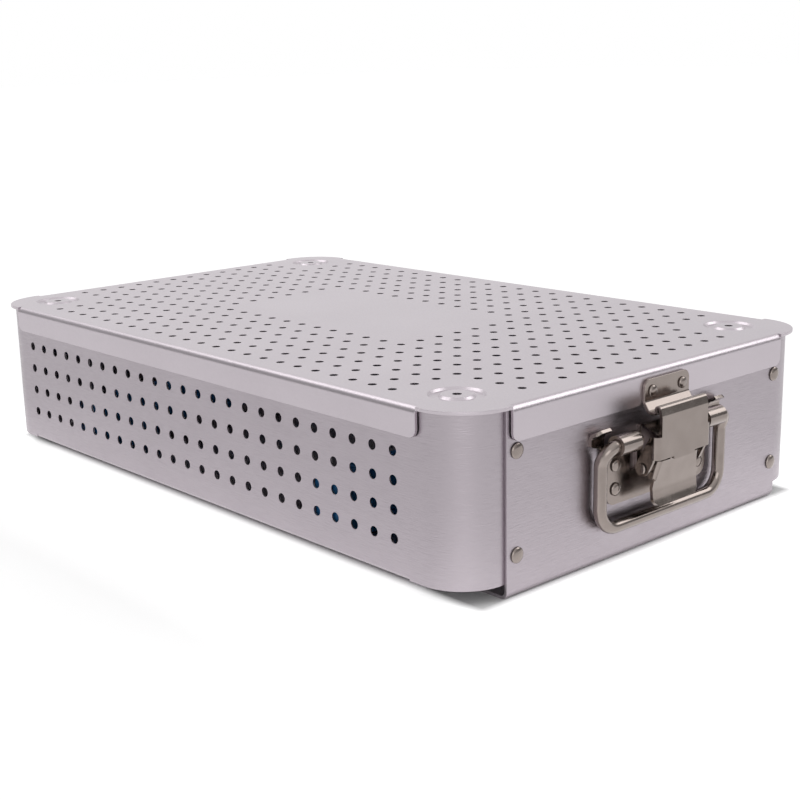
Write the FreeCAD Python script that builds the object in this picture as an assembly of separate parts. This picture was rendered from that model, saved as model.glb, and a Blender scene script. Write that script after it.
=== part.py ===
import FreeCAD, Part

import math
import os

V = FreeCAD.Vector
X_AXIS = V(1, 0, 0)
Y_AXIS = V(0, 1, 0)
Z_AXIS = V(0, 0, 1)

# Sterilization container: a folded sheet tray with wrapped side walls, a lift-off perforated
# lid, and at each end a draw latch with a wire bail handle.
# Millimetres. X runs along the tray, Y across it, Z up, origin under the centre of the base.

# Whole container
TRAY_LENGTH = 300.8         # over the two end plates
TRAY_WIDTH = 189.3          # over the two side walls
OVERALL_HEIGHT = 65.0
SHEET = 1.2
LID_CLEARANCE = 0.4         # between the tray and the lid's flanges, on each side
RIM_GAP = 0.3               # between the tray's rim and the lid's sheet
SMALL_BEND = 1.6            # outer radius of the tight folds
FOLD_END = 0.01             # least flat left beside a fold, so that no edge has zero length

# Base sheet
FLOOR_TOP = 5.8
FOOT_RAIL_WIDTH = 16.4
FLOOR_STEP_RUN = 3.0        # horizontal run of the slope between a foot rail and the floor
END_PLATE_INSET = 17.15     # from the side wall's skin to the end plate's edge
FOOT_INSET = 21.65          # the same for the narrower foot below it
FOOT_HEIGHT = 7.0
FOOT_BEND = 1.8             # outer radius of the fold at the ground
PLATE_CORNER = 3.0

# Side walls
WALL_CORNER = 21.5          # outer radius where a wall wraps round the tray's corner
WALL_RETURN_END = 60.0      # the wall stops this far from the middle of the end plate
WALL_FOOT_WIDTH = 29.65     # inward flange on the floor
WALL_FOOT_CLEAR = 25.4      # from the end plate's skin to the end of that flange
WALL_HOLE = 2.1             # corner radius of a hole
WALL_HOLE_LOWEST = 18.04
WALL_HOLE_MARGIN = 6.0      # least distance from a hole's centre to the wall's corner bend

# Perforation
HOLE_PITCH = 10.0
HOLE_SHIFT = -2.0           # both patterns sit this far off the container's middle
HOLE_SIDES = 4              # few faces, because the holes repeat by the hundred

# Lid
LID_CORNER = 23.0
LID_BEND = 2.4
LID_SIDE_DEPTH = 10.5
LID_SIDE_CLEAR = 20.0       # from the lid's end to the end of a long flange
LID_END_DEPTH = 12.0
LID_END_CLEAR = 24.25       # from the lid's side to the end of a short flange
LID_HOLE = 1.8              # corner radius of a hole
LID_HOLE_MARGIN = 10.0
LID_BLANK_COLUMNS = 11      # unperforated field in the middle
LID_BLANK_ROWS = 6
LID_CORNER_BLANK = 3        # unperforated columns and rows at each corner
RING_OUTER = 9.75           # pressed ring at each corner
RING_INNER = 5.4
RING_DEPTH = 0.9
RING_SLOPE = 0.9
RING_SIDES = 12

# Rivets
RIVET_SIDES = 8
RIVET_TAPER = 0.6
RIVET_HEAD_HEIGHT = 1.2
END_RIVET_HEAD = 2.75
END_RIVET_Y = 72.0
END_RIVET_HEIGHTS = (49.0, 13.5)
BASE_RIVET_HEAD = 2.4
BASE_RIVET_Y = 23.2
BASE_RIVET_HEIGHTS = (34.5, 26.0)
CATCH_RIVET_HEAD = 2.1
CATCH_RIVET_Y = 8.35

# Latch, measured outwards from the end plate's skin and down from the lid's top
LEVER_PIN_OUT = 8.4
LEVER_PIN_DROP = 24.5
CLAW_PIN_IN = 2.3           # the claw's pins lie inboard of the lever's: over centre
CLAW_PIN_DROP = 8.0
PIN_RADIUS = 1.2
PIN_PLAY = 0.08
PIN_SIDES = 12
PIN_HEAD = 1.9
PIN_HEAD_HEIGHT = 0.95
CLAW_PIN_HEAD_HEIGHT = 0.63
SIDE_GAP = 0.3              # between flanges that turn past each other
NEST_GAP = 0.3              # between the claw's face and the lever's face

# Latch base
BASE_BOTTOM = 20.5
BASE_HALF_WIDTH = 27.8
BASE_PLATE_TOP = 38.0
BASE_CORNER = 4.0
ARM_DROP = 5.0              # the arms to the bail stops start this far below the plate's top
ARM_STEP = 2.6              # and widen the plate by this on each side
ARM_RISE = 2.0              # they widen again this far above the plate's top
WINDOW_NEAR = 11.6
WINDOW_FAR = 15.4
WINDOW_BOTTOM = 31.0
EAR_HALF_GAP = 8.8          # inner face of an ear
EAR_LOBE = 2.4
EAR_ROOT_ABOVE = 5.6        # an ear's root on the plate, above the lever pin
EAR_ROOT_BELOW = 6.6
KNUCKLE_OUT = 6.0
KNUCKLE_DROP = 21.7
KNUCKLE_NEAR = 16.2
KNUCKLE_WRAP = 300.0        # degrees of roll
JOGGLE_RISE = 0.4           # the knuckle's strip leaves the plate this far above its top
STOP_NEAR = 28.4
STOP_FAR = 33.0
STOP_REACH = 4.0
STOP_DROP = 17.7

# Bail handle
BAIL_WIRE = 2.3             # wire radius
BAIL_SIDES = 8
BAIL_STEP = 30.0            # degrees of bend for each flat length of wire
BAIL_PLAY = 0.1
BAIL_HALF_WIDTH = 33.5      # to the wire's centre line
BAIL_OUT = 3.2
BAIL_BOTTOM = 13.6
BAIL_CORNER = 8.0
BAIL_SHOULDER = 4.8         # bend radius at the top of each leg
BAIL_SHOULDER_DROP = 5.8

# Lever
LEVER_HALF_WIDTH = 11.5
LEVER_FACE_OUT = 11.1
LEVER_LOBE = 2.6
LEVER_FACE_BOTTOM = 14.5    # below the lever pin
LEVER_FACE_TOP = 4.0
LEVER_BEND = 2.0
LIP_LENGTH = 6.2
LIP_FLARE = 2.0
LIP_HALF_WIDTH = 10.0
LIP_CORNER = 3.0

# Claw
CLAW_HALF_WIDTH = 15.2
CLAW_NECK_HALF_WIDTH = 12.9
CLAW_LOBE = 2.8
CLAW_BOTTOM_OVERLAP = 1.0   # the claw's face hangs this far over the lever's
CLAW_SHOULDER = 11.8        # neck starts this far above the claw pins
CLAW_HEIGHT = 22.3          # from the claw pins to the top of the curl
CLAW_CURL_HEIGHT = 3.4
CLAW_CROWN_RUN = 1.0
CLAW_CROWN_BEND = 1.4
CLAW_LIP_BEND = 1.3
CLAW_LIP = 2.5
HOOK_GAP = 0.3              # between the claw's lip and the catch's tip

# Catch on the lid
CATCH_HALF_WIDTH = 12.5
CATCH_TOP_DROP = 3.0
CATCH_RIVET_DROP = 7.3
CATCH_BEND_DROP = 11.0
CATCH_TROUGH_DROP = 14.8
CATCH_SLOPE_RUN = 2.5
CATCH_TROUGH_WIDTH = 4.8
CATCH_BEND = 2.4
CATCH_TIP = 3.3

# Instrument bars
BAR_X = 80.0
BAR_WIDTH = 12.0
BAR_HEIGHT = 24.0
BAR_END_GAP = 1.2           # between a bar's end and the wall
BAR_NOTCHES = 9
BAR_NOTCH_DEPTH = 8.0
BAR_NOTCH_WIDTH = 6.0
BRACKET_LENGTH = 124.0
BRACKET_LEG = 9.0
BRACKET_GAP = 0.2           # between a bar and its bracket's legs
BRACKET_RIVET_INSET = 12.0

# Positions that follow from the sizes above
END_X = TRAY_LENGTH / 2
SIDE_Y = TRAY_WIDTH / 2
LID_X = END_X + LID_CLEARANCE + SHEET
LID_Y = SIDE_Y + LID_CLEARANCE + SHEET
RIM_Z = OVERALL_HEIGHT - SHEET - RIM_GAP
LEVER_PIN_Z = OVERALL_HEIGHT - LEVER_PIN_DROP
CLAW_PIN_OUT = LEVER_PIN_OUT - CLAW_PIN_IN
CLAW_PIN_Z = LEVER_PIN_Z - CLAW_PIN_DROP
KNUCKLE_Z = OVERALL_HEIGHT - KNUCKLE_DROP
CLAW_FACE_OUT = LEVER_FACE_OUT + NEST_GAP + SHEET
CATCH_TIP_OUT = LID_CLEARANCE + SHEET + CATCH_SLOPE_RUN + CATCH_TROUGH_WIDTH
CLAW_LIP_OUT = CATCH_TIP_OUT + HOOK_GAP
EAR_FACE = EAR_HALF_GAP + SHEET
LEVER_INNER = LEVER_HALF_WIDTH - SHEET
CLAW_INNER = CLAW_HALF_WIDTH - SHEET


def at(out, height, across=0.0):
    """Point measured outwards from the right end plate's skin."""
    return V(END_X + out, across, height)


def rounded_face(corners, radii):
    """Flat face through the corners, each rounded to its own radius; 0 leaves it sharp."""
    arcs = []
    for i, corner in enumerate(corners):
        back = (corners[i - 1] - corner).normalize()
        ahead = (corners[(i + 1) % len(corners)] - corner).normalize()
        half = back.getAngle(ahead) / 2
        reach = radii[i] / math.tan(half)
        inwards = (back + ahead).normalize()
        middle = corner + inwards * (radii[i] / math.sin(half) - radii[i])
        arcs.append((corner + back * reach, middle, corner + ahead * reach, radii[i]))
    edges = []
    for i, (first, middle, last, radius) in enumerate(arcs):
        if radius > 0:
            edges.append(Part.Arc(first, middle, last).toShape())
        following = arcs[(i + 1) % len(arcs)][0]
        if last.distanceToPoint(following) > 1e-6:
            edges.append(Part.LineSegment(last, following).toShape())
    return Part.Face(Part.Wire(edges))


def sheet_section(skin, bends, normal, thickness=SHEET):
    """Cross-section of a folded sheet: one skin's points and bend radii give both skins.

    The other skin lies on the left of the way along the points, seen against the normal.
    A bend of 0 is sharp on both skins.
    """
    ways = [(b - a).normalize() for a, b in zip(skin, skin[1:])]
    lefts = [normal.cross(way) for way in ways]
    other = [skin[0] + lefts[0] * thickness]
    other_bends = []
    for i in range(1, len(skin) - 1):
        both = lefts[i - 1] + lefts[i]
        other.append(skin[i] + both * (thickness / (1 + lefts[i - 1].dot(lefts[i]))))
        turns_left = normal.dot(ways[i - 1].cross(ways[i])) > 0
        change = thickness if turns_left else -thickness
        other_bends.append(bends[i - 1] - change if bends[i - 1] > 0 else 0)
    other.append(skin[-1] + lefts[-1] * thickness)
    radii = [0] + bends + [0, 0] + other_bends[::-1] + [0]
    return rounded_face(skin + other[::-1], radii)


def hull_face(circles):
    """Flat face in the XZ plane round a ring of circles (out, height, radius), anticlockwise."""
    centres = [at(out, height) for out, height, _ in circles]
    radii = [radius for _, _, radius in circles]
    count = len(circles)
    normals = []
    for i in range(count):
        way = centres[(i + 1) % count] - centres[i]
        lean = (radii[i] - radii[(i + 1) % count]) / way.Length
        way.normalize()
        right = V(way.z, 0, -way.x)
        normals.append(way * lean + right * math.sqrt(1 - lean * lean))
    edges = []
    for i in range(count):
        arrive = normals[i - 1]
        leave = normals[i]
        start = centres[i] + arrive * radii[i]
        end = centres[i] + leave * radii[i]
        if radii[i] > 0:
            middle = centres[i] + (arrive + leave).normalize() * radii[i]
            edges.append(Part.Arc(start, middle, end).toShape())
        after = centres[(i + 1) % count] + leave * radii[(i + 1) % count]
        edges.append(Part.LineSegment(end, after).toShape())
    return Part.Face(Part.Wire(edges))


def extrude_between(face, low, high):
    """Solid from a face in the XZ plane, between two positions across the container."""
    placed = face.copy()
    placed.translate(V(0, low, 0))
    return placed.extrude(V(0, high - low, 0))


def both_sides(shape):
    """A shape and its mirror image across the container's length."""
    return [shape, shape.mirror(V(0, 0, 0), Y_AXIS)]


def left_end(shape):
    """Mirror image at the left end of what was made for the right end."""
    return shape.mirror(V(0, 0, 0), X_AXIS)


def one_solid(shapes):
    """Pieces of one sheet or one bar, joined."""
    joined = shapes[0].multiFuse(shapes[1:]).removeSplitter()
    return joined.Solids[0] if len(joined.Solids) == 1 else joined


def spokes(along, sides):
    """Unit vectors from an axis to the corners of a regular figure round it."""
    side_way = V(along.y, along.z, along.x)
    other_way = along.cross(side_way)
    turns = [2 * math.pi * (i + 0.5) / sides for i in range(sides)]
    return [side_way * math.cos(turn) + other_way * math.sin(turn) for turn in turns]


def around(radius, sides):
    """Corner radius of a regular figure that a circle of this radius just fits in."""
    return radius / math.cos(math.pi / sides)


def polygon(centre, along, radius, sides):
    """Regular wire about an axis, with its corners on a circle."""
    points = [centre + spoke * radius for spoke in spokes(along, sides)]
    return Part.makePolygon(points + [points[0]])


def prism(centre, along, length, radius, sides=PIN_SIDES):
    """Bar with flats, from the centre along its axis."""
    return Part.Face(polygon(centre, along, radius, sides)).extrude(along * length)


def faceted_turning(profile, centre, along, sides):
    """Turned solid with flats: a closed profile of (corner radius, height) carried round its axis."""
    rays = spokes(along, sides)
    faces = []
    for (r1, h1), (r2, h2) in zip(profile, profile[1:] + profile[:1]):
        for ray, following in zip(rays, rays[1:] + rays[:1]):
            corners = [(ray, r1, h1), (following, r1, h1), (following, r2, h2), (ray, r2, h2)]
            points = [centre + spoke * r + along * h for spoke, r, h in corners]
            outline = [p for i, p in enumerate(points) if p.distanceToPoint(points[i - 1]) > 1e-6]
            if len(outline) > 2:
                faces.append(Part.Face(Part.makePolygon(outline + [outline[0]])))
    return Part.makeSolid(Part.makeShell(faces)).removeSplitter()


def rivet_head(seat, along, radius, height=RIVET_HEAD_HEIGHT):
    """Tapered head that stands on its seat."""
    profile = [(0, 0), (radius, 0), (RIVET_TAPER * radius, height), (0, height)]
    return faceted_turning(profile, seat, along, RIVET_SIDES)


def end_rivet_seats():
    return [at(0, z, y) for z in END_RIVET_HEIGHTS for y in (-END_RIVET_Y, END_RIVET_Y)]


def base_rivet_seats():
    return [at(SHEET, z, y) for z in BASE_RIVET_HEIGHTS for y in (-BASE_RIVET_Y, BASE_RIVET_Y)]


def catch_rivet_seats():
    height = OVERALL_HEIGHT - CATCH_RIVET_DROP
    out = LID_CLEARANCE + 2 * SHEET
    return [at(out, height, y) for y in (-CATCH_RIVET_Y, CATCH_RIVET_Y)]


def bracket_rivet_seats():
    reach = BRACKET_LENGTH / 2 - BRACKET_RIVET_INSET
    return [V(BAR_X, y, FLOOR_TOP - SHEET) for y in (-reach, reach)]


# Base sheet: end plates, foot rails and raised floor folded from one strip
def make_base_sheet():
    floor_under = FLOOR_TOP - SHEET
    half = [
        V(END_X, 0, RIM_Z),
        V(END_X, 0, 0),
        V(END_X - FOOT_RAIL_WIDTH, 0, 0),
        V(END_X - FOOT_RAIL_WIDTH - FLOOR_STEP_RUN, 0, floor_under),
    ]
    skin = half + [V(-p.x, 0, p.z) for p in half[::-1]]
    bends = [FOOT_BEND, SMALL_BEND, SMALL_BEND]
    section = sheet_section(skin, bends + bends[::-1], Y_AXIS * -1, -SHEET)
    plate_y = SIDE_Y - END_PLATE_INSET
    foot_y = SIDE_Y - FOOT_INSET
    strip = extrude_between(section, -plate_y, plate_y)
    outline = [
        V(-END_X, plate_y, RIM_Z),
        V(-END_X, plate_y, FOOT_HEIGHT),
        V(-END_X, foot_y, FOOT_HEIGHT),
        V(-END_X, foot_y, 0),
    ]
    outline = outline + [V(p.x, -p.y, p.z) for p in outline[::-1]]
    radii = [0, PLATE_CORNER, 0, PLATE_CORNER]
    trim = rounded_face(outline, radii + radii[::-1]).extrude(V(TRAY_LENGTH, 0, 0))
    return strip.common(trim)


def wall_hole_centres():
    straight = END_X - SHEET - WALL_CORNER - WALL_HOLE_MARGIN
    columns = int(2 * straight / HOLE_PITCH) + 1
    top = OVERALL_HEIGHT - LID_SIDE_DEPTH - WALL_HOLE_MARGIN + 2 * SHEET
    rows = int((top - WALL_HOLE_LOWEST) / HOLE_PITCH) + 1
    first = HOLE_SHIFT - HOLE_PITCH * (columns - 1) / 2
    return [
        V(first + HOLE_PITCH * i, SIDE_Y, WALL_HOLE_LOWEST + HOLE_PITCH * j)
        for i in range(columns)
        for j in range(rows)
    ]


# Side wall: wraps round two corners of the tray and turns inwards over the floor
def make_side_wall():
    inner_x = END_X - SHEET
    plan = [
        V(inner_x, WALL_RETURN_END, FLOOR_TOP),
        V(inner_x, SIDE_Y, FLOOR_TOP),
        V(-inner_x, SIDE_Y, FLOOR_TOP),
        V(-inner_x, WALL_RETURN_END, FLOOR_TOP),
    ]
    section = sheet_section(plan, [WALL_CORNER, WALL_CORNER], Z_AXIS)
    wrap = section.extrude(V(0, 0, RIM_Z - FLOOR_TOP))
    foot_x = END_X - WALL_FOOT_CLEAR
    fold_z = FLOOR_TOP + LID_BEND
    notch_corner = V(-foot_x, SIDE_Y - 2 * SHEET, FLOOR_TOP)
    notch = Part.makeBox(2 * foot_x, 2 * SHEET, LID_BEND, notch_corner)
    foot = [
        V(-foot_x, SIDE_Y, fold_z),
        V(-foot_x, SIDE_Y, FLOOR_TOP),
        V(-foot_x, SIDE_Y - WALL_FOOT_WIDTH, FLOOR_TOP),
    ]
    flange = sheet_section(foot, [LID_BEND - FOLD_END], X_AXIS, -SHEET)
    flange = flange.extrude(V(2 * foot_x, 0, 0))
    wall = one_solid([wrap.cut(notch), flange])
    holes = [
        prism(centre - Y_AXIS * 2 * SHEET, Y_AXIS, 3 * SHEET, WALL_HOLE, HOLE_SIDES)
        for centre in wall_hole_centres()
    ]
    return wall.cut(Part.makeCompound(holes))


def lid_hole_centres():
    columns = int(2 * (LID_X - LID_HOLE_MARGIN) / HOLE_PITCH) + 1
    rows = int(2 * (LID_Y - LID_HOLE_MARGIN) / HOLE_PITCH) + 1
    centres = []
    for i in range(columns):
        for j in range(rows):
            from_middle_i = abs(2 * i - (columns - 1))
            from_middle_j = abs(2 * j - (rows - 1))
            blank = from_middle_i < LID_BLANK_COLUMNS and from_middle_j < LID_BLANK_ROWS
            at_end = min(i, columns - 1 - i) < LID_CORNER_BLANK
            at_side = min(j, rows - 1 - j) < LID_CORNER_BLANK
            if blank or (at_end and at_side):
                continue
            x = HOLE_SHIFT + HOLE_PITCH * (i - (columns - 1) / 2)
            y = HOLE_PITCH * (j - (rows - 1) / 2)
            centres.append(V(x, y, OVERALL_HEIGHT))
    return centres


def ring_centres():
    columns = int(2 * (LID_X - LID_HOLE_MARGIN) / HOLE_PITCH) + 1
    rows = int(2 * (LID_Y - LID_HOLE_MARGIN) / HOLE_PITCH) + 1
    middle = (LID_CORNER_BLANK - 1) / 2
    reach_x = HOLE_PITCH * ((columns - 1) / 2 - middle)
    reach_y = HOLE_PITCH * ((rows - 1) / 2 - middle)
    return [V(HOLE_SHIFT + i * reach_x, j * reach_y, OVERALL_HEIGHT) for i in (-1, 1) for j in (-1, 1)]


# Lid: perforated sheet with four flanges, open corners and a pressed ring near each corner
def make_lid_panel():
    top = OVERALL_HEIGHT
    half_side = LID_X - LID_SIDE_CLEAR
    half_end = LID_Y - LID_END_CLEAR
    corners = [V(-LID_X, -LID_Y, top), V(LID_X, -LID_Y, top), V(LID_X, LID_Y, top), V(-LID_X, LID_Y, top)]
    blank = rounded_face(corners, [LID_CORNER] * 4)
    for sign in (-1, 1):
        edge_y = LID_Y - LID_BEND if sign > 0 else -LID_Y
        edge_x = LID_X - LID_BEND if sign > 0 else -LID_X
        blank = blank.cut(Part.makePlane(2 * half_side, LID_BEND, V(-half_side, edge_y, top)))
        blank = blank.cut(Part.makePlane(LID_BEND, 2 * half_end, V(edge_x, -half_end, top)))
    openings = [polygon(centre, Z_AXIS, LID_HOLE, HOLE_SIDES) for centre in lid_hole_centres()]
    openings += [polygon(centre, Z_AXIS, RING_OUTER + SHEET, RING_SIDES) for centre in ring_centres()]
    sheet = Part.makeFace([blank.Faces[0].OuterWire] + openings, "Part::FaceMakerBullseye")
    pieces = [sheet.extrude(V(0, 0, -SHEET))]

    side_skin = [
        V(-half_side, LID_Y - LID_BEND, top),
        V(-half_side, LID_Y, top),
        V(-half_side, LID_Y, top - LID_SIDE_DEPTH),
    ]
    side = sheet_section(side_skin, [LID_BEND], X_AXIS, -SHEET).extrude(V(2 * half_side, 0, 0))
    side_trim = [
        V(-half_side, 0, top),
        V(-half_side, 0, top - LID_SIDE_DEPTH),
        V(half_side, 0, top - LID_SIDE_DEPTH),
        V(half_side, 0, top),
    ]
    trim = rounded_face(side_trim, [0, PLATE_CORNER, PLATE_CORNER, 0])
    pieces += both_sides(side.common(extrude_between(trim, 0, LID_Y + SHEET)))

    end_skin = [
        V(LID_X - LID_BEND, -half_end, top),
        V(LID_X, -half_end, top),
        V(LID_X, -half_end, top - LID_END_DEPTH),
    ]
    end = sheet_section(end_skin, [LID_BEND], Y_AXIS, SHEET).extrude(V(0, 2 * half_end, 0))
    end_trim = [
        V(0, -half_end, top),
        V(0, -half_end, top - LID_END_DEPTH),
        V(0, half_end, top - LID_END_DEPTH),
        V(0, half_end, top),
    ]
    trim = rounded_face(end_trim, [0, PLATE_CORNER, PLATE_CORNER, 0])
    end = end.common(trim.extrude(V(LID_X + SHEET, 0, 0)))
    pieces += [end, left_end(end)]

    pieces += [make_pressed_ring(centre) for centre in ring_centres()]
    return one_solid(pieces)


def make_pressed_ring(centre):
    """Round field with a pressed groove and a hole in its middle."""
    skin = [
        (LID_HOLE, 0),
        (RING_INNER, 0),
        (RING_INNER + RING_SLOPE, -RING_DEPTH),
        (RING_OUTER - RING_SLOPE, -RING_DEPTH),
        (RING_OUTER, 0),
        (RING_OUTER + SHEET, 0),
    ]
    underside = [(radius, height - SHEET) for radius, height in skin[::-1]]
    return faceted_turning(skin + underside, centre, Z_AXIS, RING_SIDES)


# Catch: plate riveted to the lid's end flange, its lower edge bent out into a trough
def make_catch_plate():
    back = LID_CLEARANCE + SHEET
    slope_out = back + CATCH_SLOPE_RUN
    tip_out = CATCH_TIP_OUT
    trough = OVERALL_HEIGHT - CATCH_TROUGH_DROP
    skin = [
        at(back, OVERALL_HEIGHT - CATCH_TOP_DROP),
        at(back, OVERALL_HEIGHT - CATCH_BEND_DROP),
        at(slope_out, trough),
        at(tip_out, trough),
        at(tip_out, trough + CATCH_TIP),
    ]
    section = sheet_section(skin, [CATCH_BEND] * 3, Y_AXIS * -1)
    strip = extrude_between(section, -CATCH_HALF_WIDTH, CATCH_HALF_WIDTH)
    low = trough - SHEET
    high = OVERALL_HEIGHT - CATCH_TOP_DROP
    outline = [
        at(0, low, -CATCH_HALF_WIDTH),
        at(0, low, CATCH_HALF_WIDTH),
        at(0, high, CATCH_HALF_WIDTH),
        at(0, high, -CATCH_HALF_WIDTH),
    ]
    trim = rounded_face(outline, [0, 0, PLATE_CORNER, PLATE_CORNER]).extrude(V(tip_out + SHEET, 0, 0))
    return strip.common(trim)


# Latch base: plate with two ears for the lever, two rolled knuckles and two bail stops
def make_latch_base():
    lever_pin = (LEVER_PIN_OUT, LEVER_PIN_Z)
    ear_top = LEVER_PIN_Z + EAR_ROOT_ABOVE
    stop_top = OVERALL_HEIGHT - STOP_DROP
    arm = BASE_HALF_WIDTH + ARM_STEP
    arm_bottom = BASE_PLATE_TOP - ARM_DROP
    arm_top = BASE_PLATE_TOP + ARM_RISE
    half = [
        at(0, BASE_BOTTOM, BASE_HALF_WIDTH),
        at(0, arm_bottom, BASE_HALF_WIDTH),
        at(0, arm_bottom + ARM_STEP, arm),
        at(0, arm_top, arm),
        at(0, arm_top + STOP_FAR - arm, STOP_FAR),
        at(0, stop_top - LID_BEND, STOP_FAR),
        at(0, stop_top - LID_BEND, STOP_NEAR),
        at(0, BASE_PLATE_TOP, STOP_NEAR),
        at(0, BASE_PLATE_TOP, EAR_FACE + SHEET),
        at(0, ear_top, EAR_FACE),
    ]
    outline = half + [V(p.x, -p.y, p.z) for p in half[::-1]]
    radii = [BASE_CORNER] + [0] * (len(half) - 1)
    plate = rounded_face(outline, radii + radii[::-1]).extrude(V(SHEET, 0, 0))
    window_width = WINDOW_FAR - WINDOW_NEAR
    window_height = BASE_PLATE_TOP - WINDOW_BOTTOM
    opening = Part.makeBox(SHEET, window_width, window_height, at(0, WINDOW_BOTTOM, WINDOW_NEAR))
    plate = plate.cut(Part.makeCompound(both_sides(opening)))

    ear = hull_face([
        (SHEET / 2, LEVER_PIN_Z - EAR_ROOT_BELOW, 0),
        (*lever_pin, EAR_LOBE),
        (SHEET / 2, ear_top, 0),
    ])
    ear = extrude_between(ear, EAR_HALF_GAP, EAR_FACE)
    ear = ear.cut(prism(at(*lever_pin), Y_AXIS, 2 * EAR_FACE, PIN_RADIUS))

    roll = BAIL_WIRE + BAIL_PLAY + SHEET
    joggle = KNUCKLE_OUT - roll
    tab_skin = [
        at(0, BASE_PLATE_TOP - SHEET),
        at(0, BASE_PLATE_TOP + JOGGLE_RISE),
        at(joggle, KNUCKLE_Z - SMALL_BEND),
        at(joggle, KNUCKLE_Z),
    ]
    tab = sheet_section(tab_skin, [SMALL_BEND, SMALL_BEND], Y_AXIS * -1, -SHEET)
    tab = extrude_between(tab, KNUCKLE_NEAR, BASE_HALF_WIDTH)
    lip = [
        at(joggle, KNUCKLE_Z, KNUCKLE_NEAR),
        at(joggle + SHEET, KNUCKLE_Z, KNUCKLE_NEAR),
        at(joggle + SHEET, KNUCKLE_Z, BASE_HALF_WIDTH),
        at(joggle, KNUCKLE_Z, BASE_HALF_WIDTH),
    ]
    rolled = rounded_face(lip, [0] * 4).revolve(at(KNUCKLE_OUT, KNUCKLE_Z), Y_AXIS, KNUCKLE_WRAP)

    stop_root = stop_top - LID_BEND - FOLD_END
    stop_skin = [at(0, stop_root), at(0, stop_top), at(STOP_REACH, stop_top)]
    stop = sheet_section(stop_skin, [LID_BEND], Y_AXIS * -1, -SHEET)
    stop = extrude_between(stop, STOP_NEAR, STOP_FAR)
    stop_plan = [
        at(0, 0, STOP_NEAR),
        at(STOP_REACH, 0, STOP_NEAR),
        at(STOP_REACH, 0, STOP_FAR),
        at(0, 0, STOP_FAR),
    ]
    stop_trim = rounded_face(stop_plan, [0, SMALL_BEND, LID_BEND, 0]).extrude(V(0, 0, OVERALL_HEIGHT))
    stop = stop.common(stop_trim)

    pieces = [plate]
    for piece in (ear, tab, rolled, stop):
        pieces += both_sides(piece)
    return one_solid(pieces)


# Lever: channel that turns on the lever pin and carries the claw's pins
def make_latch_lever():
    top = LEVER_PIN_Z - LEVER_FACE_TOP
    bottom = LEVER_PIN_Z - LEVER_FACE_BOTTOM
    bend_out = LEVER_FACE_OUT - LEVER_BEND
    flange = hull_face([
        (CLAW_PIN_OUT, CLAW_PIN_Z, LEVER_LOBE),
        (bend_out, bottom, 0),
        (bend_out, top, 0),
        (LEVER_PIN_OUT, LEVER_PIN_Z, LEVER_LOBE),
    ])
    flange = extrude_between(flange, LEVER_INNER, LEVER_HALF_WIDTH)
    loose = around(PIN_RADIUS + PIN_PLAY, PIN_SIDES)
    lever_bore = prism(at(LEVER_PIN_OUT, LEVER_PIN_Z), Y_AXIS, CLAW_INNER, loose)
    claw_bore = prism(at(CLAW_PIN_OUT, CLAW_PIN_Z), Y_AXIS, CLAW_INNER, PIN_RADIUS)
    flange = flange.cut(Part.makeCompound([lever_bore, claw_bore]))

    plan = [
        at(bend_out - SHEET, bottom, -LEVER_HALF_WIDTH),
        at(LEVER_FACE_OUT, bottom, -LEVER_HALF_WIDTH),
        at(LEVER_FACE_OUT, bottom, LEVER_HALF_WIDTH),
        at(bend_out - SHEET, bottom, LEVER_HALF_WIDTH),
    ]
    channel = sheet_section(plan, [LEVER_BEND] * 2, Z_AXIS).extrude(V(0, 0, top - bottom))
    lip_skin = [
        at(LEVER_FACE_OUT, bottom + 2 * SHEET),
        at(LEVER_FACE_OUT, bottom),
        at(LEVER_FACE_OUT + LIP_FLARE, bottom - LIP_LENGTH),
    ]
    lip = sheet_section(lip_skin, [LEVER_BEND], Y_AXIS * -1, -SHEET)
    lip = extrude_between(lip, -LIP_HALF_WIDTH, LIP_HALF_WIDTH)
    lip_outline = [
        at(0, top, LIP_HALF_WIDTH),
        at(0, bottom - LIP_LENGTH, LIP_HALF_WIDTH),
        at(0, bottom - LIP_LENGTH, -LIP_HALF_WIDTH),
        at(0, top, -LIP_HALF_WIDTH),
    ]
    lip_trim = rounded_face(lip_outline, [0, LIP_CORNER, LIP_CORNER, 0])
    lip_trim = lip_trim.extrude(V(LEVER_FACE_OUT + 2 * LIP_FLARE, 0, 0))
    return one_solid([channel, lip.common(lip_trim)] + both_sides(flange))


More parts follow.
